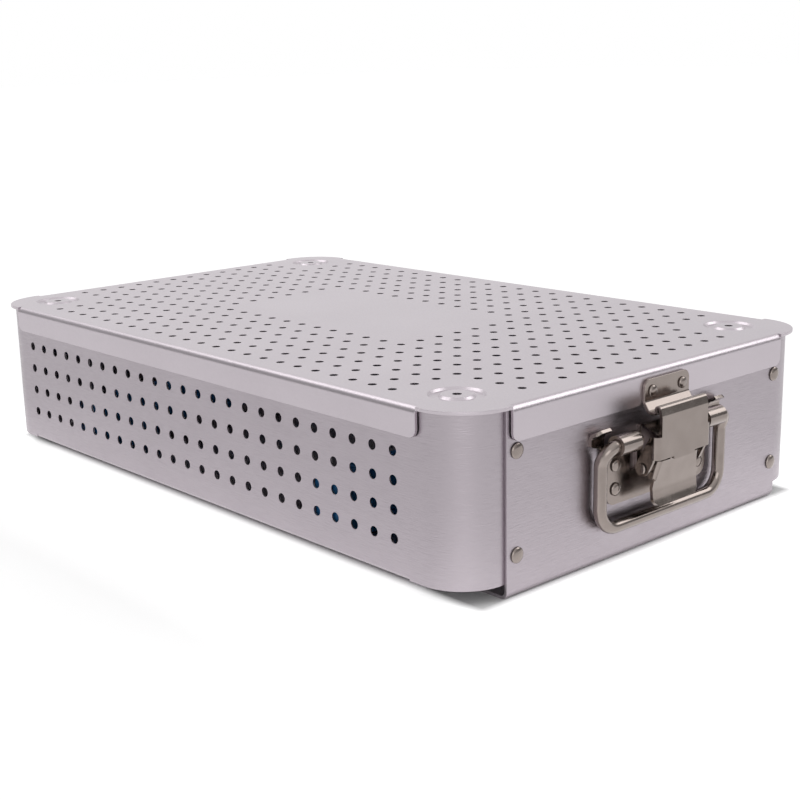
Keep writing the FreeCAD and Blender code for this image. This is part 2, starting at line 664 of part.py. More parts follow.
# Claw: channel on the claw pins whose curled top edge draws the catch down
def make_claw_plate():
    bottom = LEVER_PIN_Z - LEVER_FACE_TOP - CLAW_BOTTOM_OVERLAP
    shoulder = CLAW_PIN_Z + CLAW_SHOULDER
    top = CLAW_PIN_Z + CLAW_HEIGHT
    face_out = CLAW_FACE_OUT
    bend_out = face_out - LEVER_BEND
    flange = hull_face([
        (CLAW_PIN_OUT, CLAW_PIN_Z, CLAW_LOBE),
        (bend_out, bottom, 0),
        (bend_out, shoulder, 0),
        (bend_out - SHEET, shoulder, 0),
    ])
    flange = extrude_between(flange, CLAW_INNER, CLAW_HALF_WIDTH)
    loose = around(PIN_RADIUS + PIN_PLAY, PIN_SIDES)
    flange = flange.cut(prism(at(CLAW_PIN_OUT, CLAW_PIN_Z), Y_AXIS, CLAW_HALF_WIDTH, loose))
    plan = [
        at(bend_out - SHEET, bottom, -CLAW_HALF_WIDTH),
        at(face_out, bottom, -CLAW_HALF_WIDTH),
        at(face_out, bottom, CLAW_HALF_WIDTH),
        at(bend_out - SHEET, bottom, CLAW_HALF_WIDTH),
    ]
    channel = sheet_section(plan, [LEVER_BEND] * 2, Z_AXIS).extrude(V(0, 0, shoulder - bottom))
    neck_skin = [
        at(face_out, shoulder - SHEET),
        at(face_out, top - CLAW_CURL_HEIGHT),
        at(face_out - CLAW_CROWN_RUN, top),
        at(CLAW_LIP_OUT, top),
        at(CLAW_LIP_OUT, top - CLAW_LIP),
    ]
    neck = sheet_section(neck_skin, [LID_BEND, CLAW_CROWN_BEND, CLAW_LIP_BEND], Y_AXIS * -1)
    neck = extrude_between(neck, -CLAW_NECK_HALF_WIDTH, CLAW_NECK_HALF_WIDTH)
    return one_solid([channel, neck] + both_sides(flange))


# Pin through the ears and the lever's flanges, headed outside them
def make_lever_pin():
    half = LEVER_HALF_WIDTH + SIDE_GAP
    shank = prism(at(LEVER_PIN_OUT, LEVER_PIN_Z, -half), Y_AXIS, 2 * half, PIN_RADIUS)
    head_seat = at(LEVER_PIN_OUT, LEVER_PIN_Z, half)
    head = rivet_head(head_seat, Y_AXIS, PIN_HEAD, PIN_HEAD_HEIGHT)
    return one_solid([shank] + both_sides(head))


# Two short pins, fast in the lever's flanges, with a collar inside the claw and a head outside
def make_claw_pins():
    end = CLAW_HALF_WIDTH + SIDE_GAP
    start = at(CLAW_PIN_OUT, CLAW_PIN_Z, LEVER_INNER)
    shank = prism(start, Y_AXIS, end - LEVER_INNER, PIN_RADIUS)
    collar_seat = at(CLAW_PIN_OUT, CLAW_PIN_Z, LEVER_HALF_WIDTH)
    collar_length = CLAW_INNER - SIDE_GAP - LEVER_HALF_WIDTH
    collar = prism(collar_seat, Y_AXIS, collar_length, PIN_HEAD)
    head_seat = at(CLAW_PIN_OUT, CLAW_PIN_Z, end)
    head = rivet_head(head_seat, Y_AXIS, PIN_HEAD, CLAW_PIN_HEAD_HEIGHT)
    return Part.makeCompound(both_sides(one_solid([shank, collar, head])))


# Bail handle: one bent wire whose ends turn inside the knuckles
def make_bail_handle():
    shoulder_z = KNUCKLE_Z - BAIL_SHOULDER_DROP
    half = [
        at(KNUCKLE_OUT, KNUCKLE_Z, KNUCKLE_NEAR + 2 * SIDE_GAP),
        at(KNUCKLE_OUT, KNUCKLE_Z, BAIL_HALF_WIDTH),
        at(BAIL_OUT, shoulder_z, BAIL_HALF_WIDTH),
        at(BAIL_OUT, BAIL_BOTTOM, BAIL_HALF_WIDTH),
    ]
    points = half + [V(p.x, -p.y, p.z) for p in half[::-1]]
    bends = [BAIL_SHOULDER, BAIL_SHOULDER, BAIL_CORNER]
    path = Part.makePolygon(bent_line(points, bends + bends[::-1]))
    ring = Part.Wire(polygon(points[0], Y_AXIS, BAIL_WIRE, BAIL_SIDES))
    return path.makePipeShell([ring], True, True, 1).Solids[0]


def bent_line(points, radii):
    """Points of a line whose corners are rounded, with few steps in each bend."""
    line = [points[0]]
    for i, corner in enumerate(points[1:-1]):
        back = (points[i] - corner).normalize()
        ahead = (points[i + 2] - corner).normalize()
        half = back.getAngle(ahead) / 2
        centre = corner + (back + ahead).normalize() * (radii[i] / math.sin(half))
        first = corner + back * (radii[i] / math.tan(half)) - centre
        axis = ahead.cross(back)
        turn = 180 - math.degrees(2 * half)
        steps = max(1, round(turn / BAIL_STEP))
        for step in range(steps + 1):
            line.append(centre + FreeCAD.Rotation(axis, turn * step / steps).multVec(first))
    return line + [points[-1]]


# Bracket: channel riveted to the floor that grips an instrument bar
def make_bar_bracket():
    half = BAR_WIDTH / 2 + BRACKET_GAP + SHEET
    skin = [
        V(BAR_X + half, 0, FLOOR_TOP + BRACKET_LEG),
        V(BAR_X + half, 0, FLOOR_TOP),
        V(BAR_X - half, 0, FLOOR_TOP),
        V(BAR_X - half, 0, FLOOR_TOP + BRACKET_LEG),
    ]
    section = sheet_section(skin, [SMALL_BEND] * 2, Y_AXIS * -1, -SHEET)
    return extrude_between(section, -BRACKET_LENGTH / 2, BRACKET_LENGTH / 2)


# Instrument bar: soft bar with notches that hold the instruments apart
def make_instrument_bar():
    low = FLOOR_TOP + SHEET
    high = low + BAR_HEIGHT
    half = SIDE_Y - SHEET - BAR_END_GAP
    pitch = 2 * half / BAR_NOTCHES
    points = [V(0, -half, low), V(0, half, low), V(0, half, high)]
    for i in range(BAR_NOTCHES):
        middle = half - pitch * (i + 0.5)
        points.append(V(0, middle + BAR_NOTCH_WIDTH / 2, high))
        points.append(V(0, middle + BAR_NOTCH_WIDTH / 4, high - BAR_NOTCH_DEPTH))
        points.append(V(0, middle - BAR_NOTCH_WIDTH / 4, high - BAR_NOTCH_DEPTH))
        points.append(V(0, middle - BAR_NOTCH_WIDTH / 2, high))
    points.append(V(0, -half, high))
    bar = Part.Face(Part.makePolygon(points + [points[0]]))
    bar.translate(V(BAR_X - BAR_WIDTH / 2, 0, 0))
    return bar.extrude(V(BAR_WIDTH, 0, 0))


def make_rivets(seats, along, radius):
    return Part.makeCompound([rivet_head(seat, along, radius) for seat in seats])


def build():
    floor_rivets = make_rivets(bracket_rivet_seats(), Z_AXIS * -1, BASE_RIVET_HEAD)
    nodes = {
        "base_sheet": make_base_sheet(),
        "lid_panel": make_lid_panel(),
        "bracket_rivets": Part.makeCompound([floor_rivets, left_end(floor_rivets)]),
    }
    rear, front = both_sides(make_side_wall())
    nodes["side_wall_rear"] = rear
    nodes["side_wall_front"] = front
    at_each_end = {
        "end_rivets": make_rivets(end_rivet_seats(), X_AXIS, END_RIVET_HEAD),
        "latch_base": make_latch_base(),
        "latch_base_rivets": make_rivets(base_rivet_seats(), X_AXIS, BASE_RIVET_HEAD),
        "lever_pin": make_lever_pin(),
        "latch_lever": make_latch_lever(),
        "claw_pins": make_claw_pins(),
        "claw_plate": make_claw_plate(),
        "bail_handle": make_bail_handle(),
        "catch_plate": make_catch_plate(),
        "catch_rivets": make_rivets(catch_rivet_seats(), X_AXIS, CATCH_RIVET_HEAD),
        "bar_bracket": make_bar_bracket(),
        "instrument_bar": make_instrument_bar(),
    }
    for name, shape in at_each_end.items():
        nodes[name + "_right"] = shape
        nodes[name + "_left"] = left_end(shape)
    return nodes


os.makedirs("parts", exist_ok=True)
for name, shape in build().items():
    shape.exportStep("parts/" + name + ".step")
    solids = shape.Solids
    print(name, len(solids), shape.isValid(), round(shape.Volume, 2))
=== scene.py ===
import math

import bmesh
import bpy
from mathutils import Matrix, Vector


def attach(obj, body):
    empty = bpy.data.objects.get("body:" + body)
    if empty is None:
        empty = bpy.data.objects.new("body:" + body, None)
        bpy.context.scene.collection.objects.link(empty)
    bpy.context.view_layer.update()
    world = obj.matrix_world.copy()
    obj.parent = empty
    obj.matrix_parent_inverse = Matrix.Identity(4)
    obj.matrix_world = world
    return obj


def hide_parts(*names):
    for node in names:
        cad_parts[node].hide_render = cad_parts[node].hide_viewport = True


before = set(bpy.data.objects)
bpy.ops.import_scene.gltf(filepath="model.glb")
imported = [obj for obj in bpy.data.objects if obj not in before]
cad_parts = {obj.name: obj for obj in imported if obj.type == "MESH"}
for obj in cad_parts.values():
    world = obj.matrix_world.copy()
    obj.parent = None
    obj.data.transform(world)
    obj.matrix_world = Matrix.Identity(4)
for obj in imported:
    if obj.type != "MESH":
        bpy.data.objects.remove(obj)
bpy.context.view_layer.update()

# Sterilization container: tray with wrapped perforated walls, lift-off perforated lid, and at
# each end a draw latch with a wire bail handle.
# Shapes are made in millimetres in the part's frame and become metres when a piece is finished.
# "Out" is the distance outwards from the right end plate's skin.

MM = 0.001
X = Vector((1, 0, 0))
Y = Vector((0, 1, 0))
Z = Vector((0, 0, 1))
TAU = 2 * math.pi
QUARTER = math.pi / 2
NEAR = 0.01                 # points this near each other count as one
WELD = 0.001                # points of a sheet this near each other are welded
POINT = 0.01                # radius of a circle that stands for a sharp corner
SHARP_ANGLE = 40            # edges that turn by more are eased
ROUND_SIDES = 24

# Container
END_X = 150.4
SIDE_Y = 94.65
TOP = 65.0
RIM_Z = 63.5
SHEET = 1.2
SMALL_BEND = 1.6
PITCH = 10.0
PATTERN_SHIFT = -2.0
HOLE_ROLL = 0.15            # how far a punched hole's edge is drawn in
HOLE_SIDES = 12
FOLD_STEPS = 6
CORNER_STEPS = 16

# Base sheet
PLATE_Y = 75.6
FOOT_BEND = 2.8
FOOT_RAIL_X = 134.0
FLOOR_STEP_X = 131.0
FLOOR_UNDER = 4.6
FLOOR_TOP = 5.8

# Side walls
WALL_CORNER = 18.2
WALL_END_X = 149.2
WALL_RETURN_END = 60.0
WALL_LOW = 5.2
WALL_FOOT_X = 125.0
WALL_FOOT_BEND = 1.4
WALL_FOOT_END = 65.0
WALL_FOOT_CLEAR = 1.0       # the sloped flange reaches the floor's level this far beside it
WALL_HOLE = 1.75
WALL_HOLE_COLUMNS = 25
WALL_HOLE_ROWS = 4
WALL_HOLE_LOWEST = 18.04

# Lid
LID_X = 152.0
LID_Y = 96.25
LID_CORNER = 20.0
LID_BEND = 2.4
LID_SIDE_X = 130.5
LID_SIDE_DEPTH = 10.5
LID_END_Y = 74.2
LID_END_DEPTH = 12.0
HEM_CORNER = 3.0
LID_HOLE = 1.5
LID_COLUMNS = 29
LID_ROWS = 18
LID_BLANK_COLUMNS = 11
LID_BLANK_ROWS = 6
LID_CORNER_BLANK = 3
RING_OUTER = 9.75
RING_INNER = 5.4
RING_SLOPE = 0.9
RING_DEPTH = 0.9
RING_BAND = 10.95
RING_STEPS = 48

# Latch: out from the end plate, across the container, and height
LEVER_PIN = (8.4, 40.5)
CLAW_PIN = (6.1, 32.5)
KNUCKLE = (6.0, 43.3)
KNUCKLE_SPAN = (19.2, 29.0)
PIN = 1.2
PIN_HEAD = 1.9
CHANNEL_BEND = 2.0
CHANNEL_DEPTH = 3.2
CATCH_HALF = 12.5
CATCH_SHIFT = 2.5
HANDLE_WIRE = 2.3

# Inside
BRACKET_X = 80.0
BRACKET_HALF = 7.4
BRACKET_END = 62.0
BRACKET_TOP = 14.8
BAR_X = 74.0
BAR_WIDTH = 12.0
BAR_END = 92.25
BAR_LOW = 7.0
BAR_TOP = 31.0
NOTCHES = 9
NOTCH_DEPTH = 8.0
NOTCH_MOUTH = 3.0           # half widths
NOTCH_BOTTOM = 1.5

# Camera solved from the photo: place in metres, turn in degrees
CAMERA_PLACE = (0.4354, -0.3801, 0.1732)
CAMERA_TURN = (76.170, 1.477, 48.763)
CAMERA_LENS = 62.1
CAMERA_SHIFT = (0.0433, -0.0120)

# Softboxes: the way towards each and its strength
SOFTBOX_ANGLE = 38
SOFTBOXES = {
    "softbox_behind": ((0.38, 0.68, 0.63), 0.75),
    "softbox_left": ((-0.6, -0.12, 0.79), 0.5),
    "softbox_front": ((0.72, -0.65, 0.25), 0.35),
}

# Room: darkest in reflections along this level way, and its even fill on matt surfaces
ROOM_DARK_WAY = (0.62, 0.78, 0)
ROOM_DARKEST = 0.3
ROOM_FILL = 0.55

# Floor's painted glow, which sets the width of a painted close shadow: zero under the container,
# most a little beyond it, weaker far away
FLOOR_SIZE = 8
HIDDEN_X = END_X - 2
HIDDEN_Y = SIDE_Y - 9.5
GLOW_RISE = (0.5, 5)
GLOW_FALL = (12, 80)
GLOW_MOST = 0.75
GLOW_FAR = 0.28


def at(out, height, across=0.0):
    """Point measured outwards from the right end plate's skin."""
    return Vector((END_X + out, across, height))


def facing(place, along):
    """Matrix that puts a shape drawn round Z at a place, turned along a way."""
    return Matrix.Translation(place) @ along.to_track_quat("Z", "Y").to_matrix().to_4x4()


def both_halves(half):
    """Points of half an outline, then their mirror images across the container."""
    return half + [Vector((p.x, -p.y, p.z)) for p in half[::-1]]


# Shape helpers

def outline_face(bm, points):
    """Flat face through its corner points."""
    return bm.faces.new([bm.verts.new(point) for point in points])


def open_line(bm, points):
    """Edges from each point to the next."""
    verts = [bm.verts.new(point) for point in points]
    return [bm.edges.new(pair) for pair in zip(verts, verts[1:])]


def edge_at(bm, *ends):
    """The edge whose ends lie nearest two points."""
    ends = [Vector(end) for end in ends]

    def miss(edge):
        return sum(min((v.co - end).length for v in edge.verts) for end in ends)

    return min(bm.edges, key=miss)


def vert_at(bm, point):
    return min(bm.verts, key=lambda v: (v.co - Vector(point)).length)


def verts_of(edges):
    return list({v for edge in edges for v in edge.verts})


def border_edges(bm, test):
    """A sheet's border edges whose two ends both pass a test."""
    return [edge for edge in bm.edges if edge.is_boundary and all(test(v.co) for v in edge.verts)]


def pull(bm, edges, move):
    """Carries edges on by a move; returns the new edges."""
    made = bmesh.ops.extrude_edge_only(bm, edges=edges)["geom"]
    verts = {g for g in made if isinstance(g, bmesh.types.BMVert)}
    bmesh.ops.translate(bm, verts=list(verts), vec=move)
    return [g for g in made if isinstance(g, bmesh.types.BMEdge) and set(g.verts) <= verts]


def swing(bm, edges, centre, axis, degrees, steps=FOLD_STEPS):
    """Carries edges round an axis; returns the last edges."""
    turned = bmesh.ops.spin(
        bm, geom=verts_of(edges) + edges, cent=centre, axis=axis, dvec=(0, 0, 0),
        angle=math.radians(degrees), steps=steps, use_merge=False, use_duplicate=False)
    return [g for g in turned["geom_last"] if isinstance(g, bmesh.types.BMEdge)]


def round_fold(bm, edge, radius, steps=FOLD_STEPS):
    """Turns a sharp fold into a bend of that radius."""
    reach = radius * math.tan(edge.calc_face_angle() / 2)
    bmesh.ops.bevel(
        bm, geom=[edge], offset=reach, offset_type="OFFSET", segments=steps,
        profile=0.5, affect="EDGES", material=-1)


def fold_across(bm, out, height, low, high, radius):
    """Bends a sheet at the fold that runs across the container there."""
    round_fold(bm, edge_at(bm, at(out, height, low), at(out, height, high)), radius)


def round_corner(bm, point, radius, steps=5):
    """Rounds a square corner of a sheet's outline."""
    bmesh.ops.bevel(
        bm, geom=[vert_at(bm, point)], offset=radius, offset_type="OFFSET", segments=steps,
        profile=0.5, affect="VERTICES", material=-1)


def round_tip(bm, last, side_y, radius):
    """Rounds the corner where a curled tab's last edge meets the side at that distance across."""
    tip = last[0].verts[0].co.z
    for v in bm.verts:
        left = abs(v.co.z - tip)
        if left < radius and abs(v.co.y - side_y) < NEAR:
            v.co.y -= math.copysign(radius - math.sqrt(radius ** 2 - (radius - left) ** 2), side_y)


def thicken(bm, skin_way, thickness=SHEET):
    """Gives a sheet its thickness behind its skin, which faces skin_way on the whole."""
    bmesh.ops.remove_doubles(bm, verts=bm.verts[:], dist=WELD)
    bmesh.ops.recalc_face_normals(bm, faces=bm.faces[:])
    if sum(face.normal.dot(skin_way) * face.calc_area() for face in bm.faces) < 0:
        bmesh.ops.reverse_faces(bm, faces=bm.faces[:])
    bmesh.ops.solidify(bm, geom=bm.faces[:], thickness=thickness)
    return bm


def joined(shapes):
    """One shape from several, which are used up."""
    whole = bmesh.new()
    for shape in shapes:
        carrier = bpy.data.meshes.new("carrier")
        shape.to_mesh(carrier)
        shape.free()
        whole.from_mesh(carrier)
        bpy.data.meshes.remove(carrier)
    return whole


def mirrored(bm, way):
    """Mirror image of a closed shape."""
    image = bm.copy()
    bmesh.ops.scale(image, vec=[-1 if c else 1 for c in way], verts=image.verts[:])
    bmesh.ops.reverse_faces(image, faces=image.faces[:])
    return image


def both_sides(shape):
    """A closed shape and its mirror image across the container's length."""
    return [shape, mirrored(shape, Y)]


def hull_plate(circles, low, high):
    """Plate between two positions across, drawn tight round circles (out, height, radius)."""
    bm = bmesh.new()
    for across in (low, high):
        for out, height, radius in circles:
            place = Matrix.Translation(at(out, height, across)) @ Matrix.Rotation(QUARTER, 4, "X")
            sides = 4 if radius == POINT else ROUND_SIDES
            bmesh.ops.create_circle(bm, segments=sides, radius=radius, matrix=place)
    hull = bmesh.ops.convex_hull(bm, input=bm.verts[:])
    left_over = hull["geom_interior"] + hull["geom_unused"]
    inside = {g for g in left_over if isinstance(g, bmesh.types.BMVert)}
    bmesh.ops.delete(bm, geom=list(inside), context="VERTS")
    bmesh.ops.dissolve_limit(bm, angle_limit=math.radians(1), verts=bm.verts[:], edges=bm.edges[:])
    bmesh.ops.recalc_face_normals(bm, faces=bm.faces[:])
    return bm


def bent_wire(points, bends, radius, sides=20, bend_steps=8):
    """Round wire along straight runs, bent at each inner point; its ends are closed."""
    bm = bmesh.new()
    way = (points[1] - points[0]).normalized()
    bmesh.ops.create_circle(
        bm, cap_ends=True, segments=sides, radius=radius, matrix=facing(points[0], way))
    ring = bm.edges[:]
    here = points[0]
    for corner, after, bend in zip(points[1:-1], points[2:], bends):
        onward = (after - corner).normalized()
        turn = way.angle(onward)
        reach = bend * math.tan(turn / 2)
        ring = pull(bm, ring, corner - way * reach - here)
        centre = corner + (onward - way).normalized() * (bend / math.cos(turn / 2))
        ring = swing(bm, ring, centre, way.cross(onward), math.degrees(turn), bend_steps)
        here = corner + onward * reach
        way = onward
    ring = pull(bm, ring, points[-1] - here)
    bmesh.ops.edgeloop_fill(bm, edges=ring)
    bmesh.ops.recalc_face_normals(bm, faces=bm.faces[:])
    return bm


def dome(seat, along, radius, height, rim=0.3):
    """Rivet head: a flattened dome on a short rim."""
    bm = bmesh.new()
    bmesh.ops.create_uvsphere(
        bm, u_segments=ROUND_SIDES, v_segments=ROUND_SIDES // 2, radius=radius)
    bmesh.ops.scale(bm, vec=(1, 1, (height - rim) / radius), verts=bm.verts[:])
    bmesh.ops.bisect_plane(
        bm, geom=bm.verts[:] + bm.edges[:] + bm.faces[:], plane_co=(0, 0, 0), plane_no=(0, 0, 1),
        clear_inner=True)
    bmesh.ops.translate(bm, verts=bm.verts[:], vec=(0, 0, rim))
    base = pull(bm, [edge for edge in bm.edges if edge.is_boundary], (0, 0, -rim))
    bmesh.ops.edgeloop_fill(bm, edges=base)
    bmesh.ops.transform(bm, matrix=facing(seat, along), verts=bm.verts[:])
    bmesh.ops.recalc_face_normals(bm, faces=bm.faces[:])
    return bm


def round_bar(start, along, length, radius):
    """Round bar from a point along its axis."""
    bm = bmesh.new()
    bmesh.ops.create_cone(
        bm, cap_ends=True, segments=ROUND_SIDES, radius1=radius, radius2=radius, depth=length,
        matrix=facing(start + along * (length / 2), along))
    return bm


def finish_piece(name, bm, material, body, nodes, edge=0.12, edge_steps=2):
    """Makes a piece from a closed shape in millimetres, with its edges eased."""
    bmesh.ops.scale(bm, vec=(MM, MM, MM), verts=bm.verts[:])
    mesh = bpy.data.meshes.new(name)
    bm.to_mesh(mesh)
    bm.free()
    mesh.shade_smooth()
    mesh.materials.append(material)
    piece = bpy.data.objects.new(name, mesh)
    bpy.context.scene.collection.objects.link(piece)
    if edge:
        eased = piece.modifiers.new("eased edges", "BEVEL")
        eased.width = edge * MM
        eased.segments = edge_steps
        eased.limit_method = "ANGLE"
        eased.angle_limit = math.radians(SHARP_ANGLE)
    piece.modifiers.new("flat faces stay flat", "WEIGHTED_NORMAL").keep_sharp = True
    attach(piece, body)
    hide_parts(*nodes)
    return piece


def finish_ends(name, bm, material, body, node, edge=0.12):
    """The piece at the right end and its mirror image at the left one.

    A body name that ends in _ is completed with the end's name.
    """
    shapes = {"right": bm.copy(), "left": mirrored(bm, X)}
    bm.free()
    for end, shape in shapes.items():
        rides = body + end if body.endswith("_") else body
        finish_piece(f"{name}_{end}", shape, material, rides, [f"{node}_{end}"], edge)


# Materials

def linear(hex_colour):
    """sRGB hex to the linear colour that a shader takes."""
    channels = [int(hex_colour[i:i + 2], 16) / 255 for i in (1, 3, 5)]
    return [c / 12.92 if c <= 0.04045 else ((c + 0.055) / 1.055) ** 2.4 for c in channels] + [1]


def feed(tree, node, inputs):
    """Gives a node's inputs a value or another node's output."""
    for key, value in inputs.items():
        if isinstance(value, bpy.types.NodeSocket):
            tree.links.new(value, node.inputs[key])
        else:
            node.inputs[key].default_value = value


def add_node(tree, kind, inputs, result, **settings):
    """Adds a node with its inputs and settings; returns the output asked for."""
    node = tree.nodes.new(kind)
    for name, value in settings.items():
        setattr(node, name, value)
    feed(tree, node, inputs)
    return node.outputs[result]


def texture_place(tree):
    return add_node(tree, "ShaderNodeTexCoord", {}, "Object")


def noise(tree, place, size, detail):
    """Noise whose lumps are about that many millimetres wide."""
    inputs = {"Vector": place, "Scale": 1 / (size * MM), "Detail": detail}
    return add_node(tree, "ShaderNodeTexNoise", inputs, "Fac")


def shade_between(tree, amount, first, second):
    """Colour between two hex colours; a Mix node's colours are its inputs 6 and 7, output 2."""
    inputs = {0: amount, 6: linear(first), 7: linear(second)}
    return add_node(tree, "ShaderNodeMix", inputs, 2, data_type="RGBA")


def range_of_noise(tree, amount, low, high):
    """The part of a noise's values that is common, stretched to a range."""
    inputs = {"Value": amount, "From Min": 0.3, "From Max": 0.7, "To Min": low, "To Max": high}
    return add_node(tree, "ShaderNodeMapRange", inputs, "Result")


def relief(tree, height, strength, depth):
    """Normals of a relief that many millimetres deep."""
    inputs = {"Height": height, "Strength": strength, "Distance": depth * MM}
    return add_node(tree, "ShaderNodeBump", inputs, "Normal")


def calculate(tree, operation, first, second):
    return add_node(tree, "ShaderNodeMath", {0: first, 1: second}, "Value", operation=operation)


def any_ray(tree, *kinds):
    """1 for rays of any of these kinds, 0 for the others."""
    kind_of_ray = tree.nodes.new("ShaderNodeLightPath").outputs
    found = kind_of_ray[f"Is {kinds[0]} Ray"]
    for kind in kinds[1:]:
        found = calculate(tree, "MAXIMUM", found, kind_of_ray[f"Is {kind} Ray"])
    return found


def new_material(name):
    material = bpy.data.materials.new(name)
    material.use_nodes = True
    tree = material.node_tree
    return material, tree, tree.nodes["Principled BSDF"]


def satin_anodised_sheet():
    """Anodised aluminium sheet, etched satin before anodising.

    The eye gets a soft lilac-grey sheen with fine grit.
    """
    material, tree, shader = new_material("satin_anodised_aluminium")
    place = texture_place(tree)
    grit = noise(tree, place, 0.7, 2)
    cloud = noise(tree, place, 45, 3)
    feed(tree, shader, {
        # the lid's lighter colour is the lit copy of the anodised tone that the walls take darker
        # as painted shade
        "Base Color": shade_between(tree, cloud, "#bcb4ba", "#c6bec4"),
        "Roughness": range_of_noise(tree, grit, 0.30, 0.40),
        "Normal": relief(tree, grit, 0.25, 0.05),
        "Metallic": 1,
    })
    return material


def brushed_wall_painted_darker():
    """Anodised aluminium, brushed lengthwise before it is bent.

    The eye gets short bright dashes where it is rolled round a corner. Its base colour is darker
    than the lid's as painted shade, for walls and end plates that face sideways, though the
    anodised sheet is the same.
    """
    material, tree, shader = new_material("brushed_aluminium_with_painted_shade")
    place = texture_place(tree)
    lengthwise = add_node(
        tree, "ShaderNodeMapping", {"Vector": place, "Scale": (1, 1, 9)}, "Vector")
    brushing = noise(tree, lengthwise, 4, 4)
    cloud = noise(tree, place, 45, 3)
    feed(tree, shader, {
        # painted shade: a darker base colour than the lid's, because these sheets face sideways and
        # not up
        "Base Color": shade_between(tree, cloud, "#a69ea4", "#b0a8ae"),
        "Roughness": range_of_noise(tree, brushing, 0.28, 0.42),
        "Normal": relief(tree, brushing, 1, 0.1),
        "Metallic": 1,
    })
    return material


def tumbled_stainless_steel():
    """Stainless steel, tumbled to a dull polish after pressing.

    The eye gets dark warm reflections with faint smears.
    """
    material, tree, shader = new_material("tumbled_stainless_steel")
    place = texture_place(tree)
    smear = noise(tree, place, 6, 4)
    dimple = noise(tree, place, 0.9, 2)
    feed(tree, shader, {
        "Base Color": shade_between(tree, smear, "#857b76", "#9b918c"),
        "Roughness": range_of_noise(tree, smear, 0.14, 0.26),
        "Normal": relief(tree, dimple, 0.15, 0.04),
        "Metallic": 1,
    })
    return material


def moulded_silicone():
    """Blue silicone rubber, moulded in a blasted tool.

    The eye gets a matt skin that is slightly translucent at its edges.
    """
    material, tree, shader = new_material("moulded_silicone")
    place = texture_place(tree)
    grain = noise(tree, place, 0.6, 2)
    cloud = noise(tree, place, 20, 2)
    feed(tree, shader, {
        "Base Color": shade_between(tree, cloud, "#2f6fa8", "#3a7fb8"),
        "Roughness": 0.55,
        "Normal": relief(tree, grain, 0.3, 0.05),
        "IOR": 1.41,
        "Subsurface Weight": 0.15,
        "Subsurface Scale": 2 * MM,
    })
    return material


def floor_paper_painted_glow():
    """White studio paper.

    Its glow is painted light, zero under the container and rising just beyond it: the close shadow
    is partly real shade and partly painted shadow, and the paper is pure white further out.
    """
    material, tree, shader = new_material("paper_with_painted_glow")
    zero = (0, 0, 0)
    hidden = (HIDDEN_X * MM, HIDDEN_Y * MM, 0)
    outward = add_node(
        tree, "ShaderNodeVectorMath", {0: texture_place(tree)}, 0, operation="ABSOLUTE")
    outward = add_node(
        tree, "ShaderNodeVectorMath", {0: outward, 1: hidden}, 0, operation="SUBTRACT")
    outward = add_node(
        tree, "ShaderNodeVectorMath", {0: outward, 1: zero}, 0, operation="MAXIMUM")
    away = add_node(tree, "ShaderNodeVectorMath", {0: outward}, "Value", operation="LENGTH")
    rising = add_node(tree, "ShaderNodeMapRange", {
        "Value": away, "From Min": GLOW_RISE[0] * MM, "From Max": GLOW_RISE[1] * MM,
        "To Max": GLOW_MOST}, "Result")
    falling = add_node(tree, "ShaderNodeMapRange", {
        "Value": away, "From Min": GLOW_FALL[0] * MM, "From Max": GLOW_FALL[1] * MM,
        "To Min": GLOW_MOST, "To Max": GLOW_FAR}, "Result")
    lift = calculate(tree, "MINIMUM", rising, falling)
    shown = any_ray(tree, "Camera", "Glossy", "Transmission")
    feed(tree, shader, {
        "Base Color": linear("#f4f4f4"),
        "Roughness": 0.9,
        "Specular IOR Level": 0,
        "Emission Color": (1, 1, 1, 1),
        # painted glow: brightens the paper where the camera or a reflection sees it, and leaves a
        # painted shadow next to the container
        "Emission Strength": calculate(tree, "MULTIPLY", shown, lift),
    })
    return material


# Perforated field

def hole_cell(radius):
    """Square of sheet with one punched hole, its edge drawn in a little."""
    bm = bmesh.new()
    turn = Matrix.Rotation(math.pi / HOLE_SIDES, 4, "Z")
    place = Matrix.Translation(Z * -HOLE_ROLL) @ turn
    bmesh.ops.create_circle(bm, segments=HOLE_SIDES, radius=radius, matrix=place)
    rim = pull(bm, bm.edges[:], Z * HOLE_ROLL)
    spread = (radius + HOLE_ROLL) / radius
    bmesh.ops.scale(bm, vec=(spread, spread, 1), verts=verts_of(rim))
    border = pull(bm, rim, Z * 0)
    for v in verts_of(border):
        v.co.xy *= PITCH / 2 / max(abs(v.co.x), abs(v.co.y))
    return bm


def perforated_sheet(bm, centres, radius, blank=False):
    """Repeats the hole's cell at each centre, then closes the flat sheet round the cells.

    The sheet lies at height 0. Whatever else is in the shape already and has an open edge at
    that height is closed in with it. With a blank, the lid's field without holes is one face.
    """
    carrier = bpy.data.meshes.new("carrier")
    cell = hole_cell(radius)
    cell.to_mesh(carrier)
    cell.free()
    for centre in centres:
        known = len(bm.verts)
        bm.from_mesh(carrier)
        bm.verts.ensure_lookup_table()
        bmesh.ops.translate(bm, verts=bm.verts[known:], vec=centre)
    bpy.data.meshes.remove(carrier)
    bmesh.ops.remove_doubles(bm, verts=bm.verts[:], dist=NEAR)
    open_edges = [
        edge for edge in bm.edges
        if len(edge.link_faces) < 2 and all(abs(v.co.z) < NEAR for v in edge.verts)]
    blank_x = PITCH * LID_BLANK_COLUMNS / 2 + NEAR
    blank_y = PITCH * LID_BLANK_ROWS / 2 + NEAR

    def in_blank(point):
        return abs(point.x - PATTERN_SHIFT) < blank_x and abs(point.y) < blank_y

    round_blank = [
        edge for edge in open_edges if blank and all(in_blank(v.co) for v in edge.verts)]
    if round_blank:
        bmesh.ops.edgeloop_fill(bm, edges=round_blank)
    outside = [edge for edge in open_edges if edge not in round_blank]
    bmesh.ops.triangle_fill(
        bm, use_beauty=True, use_dissolve=False, edges=outside, normal=(0, 0, 1))


